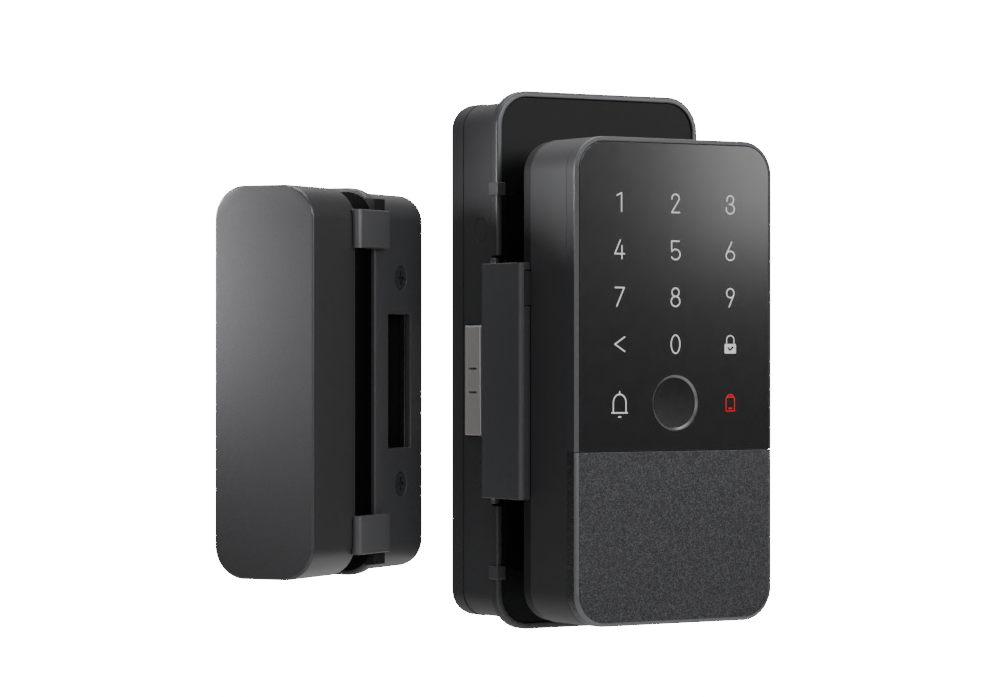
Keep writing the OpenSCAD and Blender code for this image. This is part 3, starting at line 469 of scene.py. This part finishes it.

# Faces whose normal's Y lies between steepest and flattest carry the lacquer, the rest of the piece its
# coat, so the choice goes by which way a face looks. -1 looks straight out of the door and 0 sideways.
# On the outdoor frame the lacquer band is partly its real grey rim and partly a painted highlight line,
# and the black coat on the steep slope beside it paints a dark line of shade. The indoor frame's front
# and flat lip carry the lacquer, and its sides take the black coat as painted shade. The cap carries a
# painted highlight line along its rounded edge.
STEEPEST = -0.2
PAINTED_EDGE_LINES = (
    ("front_frame", grey_lacquer, black_coat, -0.96),
    ("indoor_bezel", bezel_lacquer, black_coat, -1.01),
    ("lower_cap", grey_lacquer, fleck_paint, -0.9),
)
for node, highlight_lacquer, coat, flattest in PAINTED_EDGE_LINES:
    mesh = rounded[node].data
    mesh.materials.clear()
    mesh.materials.append(highlight_lacquer)
    mesh.materials.append(coat)
    for face in mesh.polygons:
        # The lacquer on the band paints a highlight line; the coat on the other faces also paints the
        # shade of slopes and sides.
        face.material_index = 0 if flattest < face.normal.y < STEEPEST else 1


# ---- Printed keys ----

# Half a key's light guide, the spacing of the key rows, the strokes' widths and the height of the
# print.
KEY_HALF = 4.5
ROW_PITCH = 16.45
STROKE = 0.52
THIN_STROKE = 0.42
PRINT_HEIGHT = 0.04
# Degrees at which a stroke's rounded end has a ring, and the gap under which a stroke is closed.
END_RINGS = (85, 60, 30)
CLOSED_GAP = 0.01
ARC_STEP = 12


def arc(cu, cv, ru, rv, start, end):
    """Points of an elliptic arc about (cu, cv), from start to end in degrees."""
    steps = max(6, round(abs(end - start) / ARC_STEP))
    turns = [math.radians(start + (end - start) * i / steps) for i in range(steps + 1)]
    return [(cu + ru * math.cos(t), cv + rv * math.sin(t)) for t in turns]


# Strokes of each mark, in millimetres from the middle of its key: across, then up.
MARKS = {
    "1": [[(-1.05, 2.35), (0.8, 3.2)], [(0.8, 3.2), (0.8, -3.2)]],
    "2": [arc(0, 1.75, 1.55, 1.45, 190, -25) + [(-1.6, -3.2)], [(-1.6, -3.2), (1.75, -3.2)]],
    "3": [
        [(-0.35, 0.15), (0.1, 0.15)],
        arc(0, 1.68, 1.45, 1.52, -75, 195),
        arc(0, -1.55, 1.75, 1.65, 80, -195),
    ],
    "4": [[(0.25, 3.2), (-2, -1.5)], [(-2, -1.5), (2, -1.5)], [(0.95, 1.3), (0.95, -3.2)]],
    "5": [
        [(1.5, 3.2), (-1.65, 3.2)],
        [(-1.65, 3.2), (-1.65, 0.15)],
        arc(0, -1.45, 1.95, 1.78, 145, -150),
    ],
    "6": [arc(0, -1.6, 1.8, 1.6, 0, 360), [(0.6, 3.2), (-1.65, -0.9)]],
    "7": [[(-1.85, 3.2), (1.9, 3.2)], [(1.9, 3.2), (-1.2, -3.2)]],
    "8": [arc(0, 1.75, 1.5, 1.45, 0, 360), arc(0, -1.45, 1.85, 1.75, 0, 360)],
    "9": [arc(0, 1.6, 1.6, 1.6, 0, 360), [(-0.5, -3.2), (1.5, 0.9)]],
    "0": [arc(0, 0, 1.85, 3.2, 0, 360)],
    "back": [[(2.1, 2.5), (-2, 0)], [(-2, 0), (2.1, -2.5)]],
    "lock_shackle": [[(-1.6, 0.35)] + arc(0, 1.5, 1.6, 1.55, 180, 0) + [(1.6, 0.35)]],
    "bell": [
        [(-3.25, -3.35), (3.25, -3.35)],
        [(-2.65, -3.3), (-2.65, 0.2)] + arc(0, 0.2, 2.65, 2.9, 180, 0) + [(2.65, -3.3)],
        [(0, 3.1), (0, 4.0)],
        [(-0.45, -4.75), (0.45, -4.75)],
    ],
    "battery": [
        [
            (-1.85, -3.1),
            (1.85, -3.1),
            (1.85, 1.3),
            (0.85, 2.6),
            (-0.85, 2.6),
            (-1.85, 1.3),
            (-1.85, -3.1),
        ],
        [(-1.2, 1.8), (1.2, 1.8)],
        [(-0.65, -2.15), (0.65, -2.15)],
    ],
}
# The keys, row by row. The padlock's body is added below.
LAYOUT = [
    ["1", "2", "3"],
    ["4", "5", "6"],
    ["7", "8", "9"],
    ["back", "0", "lock_shackle"],
    ["bell", None, "battery"],
]
# The emission strengths below paint a faint glow into the prints.
white_print = print_with_painted_glow("white_key_print", "cfcfcf", 0.3)
red_print = print_with_painted_glow("red_key_print", "d8001c", 0.4)


def printed(name, strokes, place, ink, width=STROKE, height=PRINT_HEIGHT):
    """Thin raised print of strokes with round ends, on the front glass at place.

    The strokes are drawn as round curves in millimetres, then pressed flat to height.
    """
    alone()
    bpy.ops.curve.primitive_bezier_curve_add()
    obj = bpy.context.object
    obj.name = name
    line = obj.data
    line.splines.clear()
    line.bevel_depth = width / 2
    line.bevel_resolution = 2
    line.use_fill_caps = True
    for stroke in strokes:
        points = [Vector((u, 0, v)) for u, v in stroke]
        closed = (points[0] - points[-1]).length < CLOSED_GAP
        rings = [1.0] * len(points)
        if not closed:
            head = (points[0] - points[1]).normalized() * width / 2
            tail = (points[-1] - points[-2]).normalized() * width / 2
            caps = [math.radians(a) for a in END_RINGS]
            fronts = [points[0] + head * math.sin(a) for a in caps]
            backs = [points[-1] + tail * math.sin(a) for a in reversed(caps)]
            points = fronts + points + backs
            narrowing = [math.cos(a) for a in caps]
            rings = narrowing + rings + narrowing[::-1]
        spline = line.splines.new("POLY")
        spline.points.add(len(points) - (2 if closed else 1))
        spline.use_cyclic_u = closed
        for point, at, ring in zip(spline.points, points, rings):
            point.co = (*at, 1)
            point.radius = ring
    bpy.ops.object.convert(target="MESH")
    pressed = Matrix.Diagonal((MM, MM * height / width, MM, 1))
    obj.data.transform(Matrix.Translation(place) @ pressed)
    obj.data.materials.clear()
    obj.data.materials.append(ink)
    bpy.ops.object.shade_smooth()
    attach(obj, "lock")


guide_low, guide_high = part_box("key_light_guides")
glass_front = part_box("glass_panel")[0][1]
top_row = guide_high[2] - KEY_HALF * MM
symbol_row = guide_low[2] + KEY_HALF * MM
column = guide_high[0] - KEY_HALF * MM
for row, marks in enumerate(LAYOUT):
    up = top_row - row * ROW_PITCH * MM if row < len(LAYOUT) - 1 else symbol_row
    for across, mark in zip((-column, 0, column), marks):
        if mark:
            ink = red_print if mark == "battery" else white_print
            stroke = THIN_STROKE if mark in ("battery", "lock_shackle") else STROKE
            place = Vector((across, glass_front, up))
            printed("key_" + mark, MARKS[mark], place, ink, width=stroke)

# The padlock's filled body under its shackle, with a dark tick on it.
LOCK_ROW = 3
LOCK_W = 4.95
LOCK_H = 3.4
LOCK_CORNER = 0.45
LOCK_DROP = 1.58
TICK_STROKE = 0.75
alone()
lock_key = Vector((column, glass_front, top_row - LOCK_ROW * ROW_PITCH * MM))
bpy.ops.mesh.primitive_plane_add(size=1, location=(0, 0, 0))
body = bpy.context.object
body.name = "key_lock_body"
bpy.ops.object.mode_set(mode="EDIT")
bpy.ops.transform.resize(value=(LOCK_W, LOCK_H, 1))
bpy.ops.mesh.bevel(offset=LOCK_CORNER, segments=5, affect="VERTICES")
bpy.ops.mesh.extrude_region_move(TRANSFORM_OT_translate={"value": (0, 0, PRINT_HEIGHT)})
bpy.ops.mesh.select_all(action="SELECT")
bpy.ops.mesh.normals_make_consistent(inside=False)
bpy.ops.object.mode_set(mode="OBJECT")
upright = Matrix.Rotation(math.radians(90), 4, "X")
middle = Vector((0, PRINT_HEIGHT * MM / 2, -LOCK_DROP * MM))
body.data.transform(Matrix.Translation(lock_key + middle) @ upright @ Matrix.Scale(MM, 4))
body.data.materials.append(white_print)
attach(body, "lock")
tick = [[(-0.85, -1.35), (-0.15, -2.1), (1.05, -1.05)]]
place = lock_key - Vector((0, PRINT_HEIGHT * MM / 2, 0))
printed("key_lock_tick", tick, place, pad_foam, width=TICK_STROKE, height=2 * PRINT_HEIGHT)


# ---- Reader ----

TURN_STEPS = 96


def turned(name, profile, node, ink):
    """A piece turned about the reader's axis in place of a node of the lock.

    profile is (radius, depth behind the glass) points in millimetres. A plane is merged to the
    first of them, drawn out to the next ones and spun.
    """
    alone()
    bpy.ops.mesh.primitive_plane_add(size=1, location=(0, 0, 0))
    obj = bpy.context.object
    obj.name = name
    outline = [Vector((radius, depth, 0)) for radius, depth in profile]
    bpy.ops.object.mode_set(mode="EDIT")
    bpy.ops.mesh.select_mode(type="VERT")
    bpy.ops.mesh.select_all(action="SELECT")
    bpy.ops.mesh.merge(type="CENTER")
    bpy.ops.transform.translate(value=outline[0])
    for start, end in zip(outline, outline[1:]):
        bpy.ops.mesh.extrude_vertices_move(TRANSFORM_OT_translate={"value": end - start})
    bpy.ops.mesh.select_all(action="SELECT")
    bpy.ops.mesh.spin(steps=TURN_STEPS, angle=math.tau, center=(0, 0, 0), axis=(0, 1, 0))
    bpy.ops.mesh.select_all(action="SELECT")
    bpy.ops.mesh.remove_doubles(threshold=WELD)
    bpy.ops.mesh.dissolve_degenerate(threshold=WELD / 2)
    bpy.ops.mesh.normals_make_consistent(inside=False)
    bpy.ops.object.mode_set(mode="OBJECT")
    bpy.ops.object.shade_smooth_by_angle(angle=math.radians(40))
    obj.data.transform(Matrix.Translation(reader) @ Matrix.Scale(MM, 4))
    obj.data.materials.append(ink)
    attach(obj, "lock")
    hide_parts(node)


ring_low, ring_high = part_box("fingerprint_ring")
reader = Vector((0, glass_front, (ring_low[2] + ring_high[2]) / 2))
ring_r = (ring_high[2] - ring_low[2]) / 2 / MM
ring_depth = (ring_high[1] - ring_low[1]) / MM
# The ring is a funnel: a narrow rounded lip, then a slope down to the window. The slope eases in
# and out over EASE of its width.
LIP = 0.12
FUNNEL_W = 0.75
FUNNEL_D = 0.7
EASE = 0.3
funnel_r = ring_r - LIP - FUNNEL_W
funnel = [
    (ring_r, ring_depth),
    (ring_r, LIP),
    (ring_r - LIP / 3, LIP / 3),
    (ring_r - LIP, 0),
    (ring_r - LIP - FUNNEL_W * EASE, FUNNEL_D * EASE - LIP / 3),
    (funnel_r + FUNNEL_W * EASE, FUNNEL_D * (1 - EASE)),
    (funnel_r, FUNNEL_D),
    (funnel_r, ring_depth),
    (ring_r, ring_depth),
]
turned("reader_ring", funnel, "fingerprint_ring", ring_chrome)

# The reader's window is a very shallow dish, lowest at its middle.
DISH = 0.3
DISH_STEPS = 12
WINDOW_GAP = 0.05
window_r = funnel_r - WINDOW_GAP
window_back = (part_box("fingerprint_sensor")[1][1] - glass_front) / MM
shares = [i / DISH_STEPS for i in range(DISH_STEPS, -1, -1)]
dish = [(window_r * share, FUNNEL_D + DISH * (1 - share**2)) for share in shares]
window = [(0, window_back), (window_r, window_back), *dish]
turned("reader_window", window, "fingerprint_sensor", reader_glass)


# ---- Stage and light ----

FLOOR_RADIUS = 0.6
FLOOR_PLACE = (-0.05, 0, -0.26)
alone()
bpy.ops.mesh.primitive_circle_add(
    vertices=96, radius=FLOOR_RADIUS, fill_type="NGON", location=FLOOR_PLACE
)
floor = bpy.context.object
floor.name = "studio_floor"
pale = finish("pale_studio_floor", "d9d9d8", "e2e2e1", 0.0, (0.6, 0.7), 40.0, 0.0)
floor.data.materials.append(pale)


def softbox(name, place, target, size, watts, spread=180):
    """An area light of size at place that shines towards target, within spread degrees."""
    alone()
    bpy.ops.object.light_add(type="AREA", location=place)
    lamp = bpy.context.object
    lamp.name = name
    lamp.data.shape = "RECTANGLE"
    lamp.data.size, lamp.data.size_y = size
    lamp.data.energy = watts
    lamp.data.spread = math.radians(spread)
    lamp.rotation_euler = (Vector(target) - Vector(place)).to_track_quat("-Z", "Y").to_euler()


# left_close makes the soft sheen on the strike's cover, and right_front the one on the glass.
softbox("overhead", (0, 0.15, 0.8), (0, 0, 0), (1.0, 1.0), 12)
softbox("left_close", (-0.252, 0.085, 0.065), (-0.15, 0.005, 0.032), (0.06, 0.1), 0.2, spread=60)
softbox("left_front", (-0.85, -0.53, 0.15), (0, 0, 0), (0.3, 0.7), 1.3)
softbox("right_front", (0.64, -0.60, 0.28), (0.0, -0.047, 0.05), (0.42, 0.42), 2.6)
softbox("front_fill", (0.25, -1.25, 0.45), (0, 0, 0), (0.7, 0.5), 8)

# Faint light from all sides, and a white backdrop that only the camera sees. The sockets of the
# node that mixes them are its share and then the two shaders, which have no names of their own.
AMBIENT = 0.2
BACKDROP = 30.0
world = bpy.data.worlds.new("studio")
bpy.context.scene.world = world
world.use_nodes = True
sky = world.node_tree
sky.nodes.clear()
rays = add(sky, "ShaderNodeLightPath")
around = add(sky, "ShaderNodeBackground", [("Color", linear("f4f5f7")), ("Strength", AMBIENT)])
behind = add(sky, "ShaderNodeBackground", [("Color", linear("ffffff")), ("Strength", BACKDROP)])
both = add(
    sky,
    "ShaderNodeMixShader",
    [],
    [(0, rays, "Is Camera Ray"), (1, around, "Background"), (2, behind, "Background")],
)
add(sky, "ShaderNodeOutputWorld", [], [("Surface", both, "Shader")])
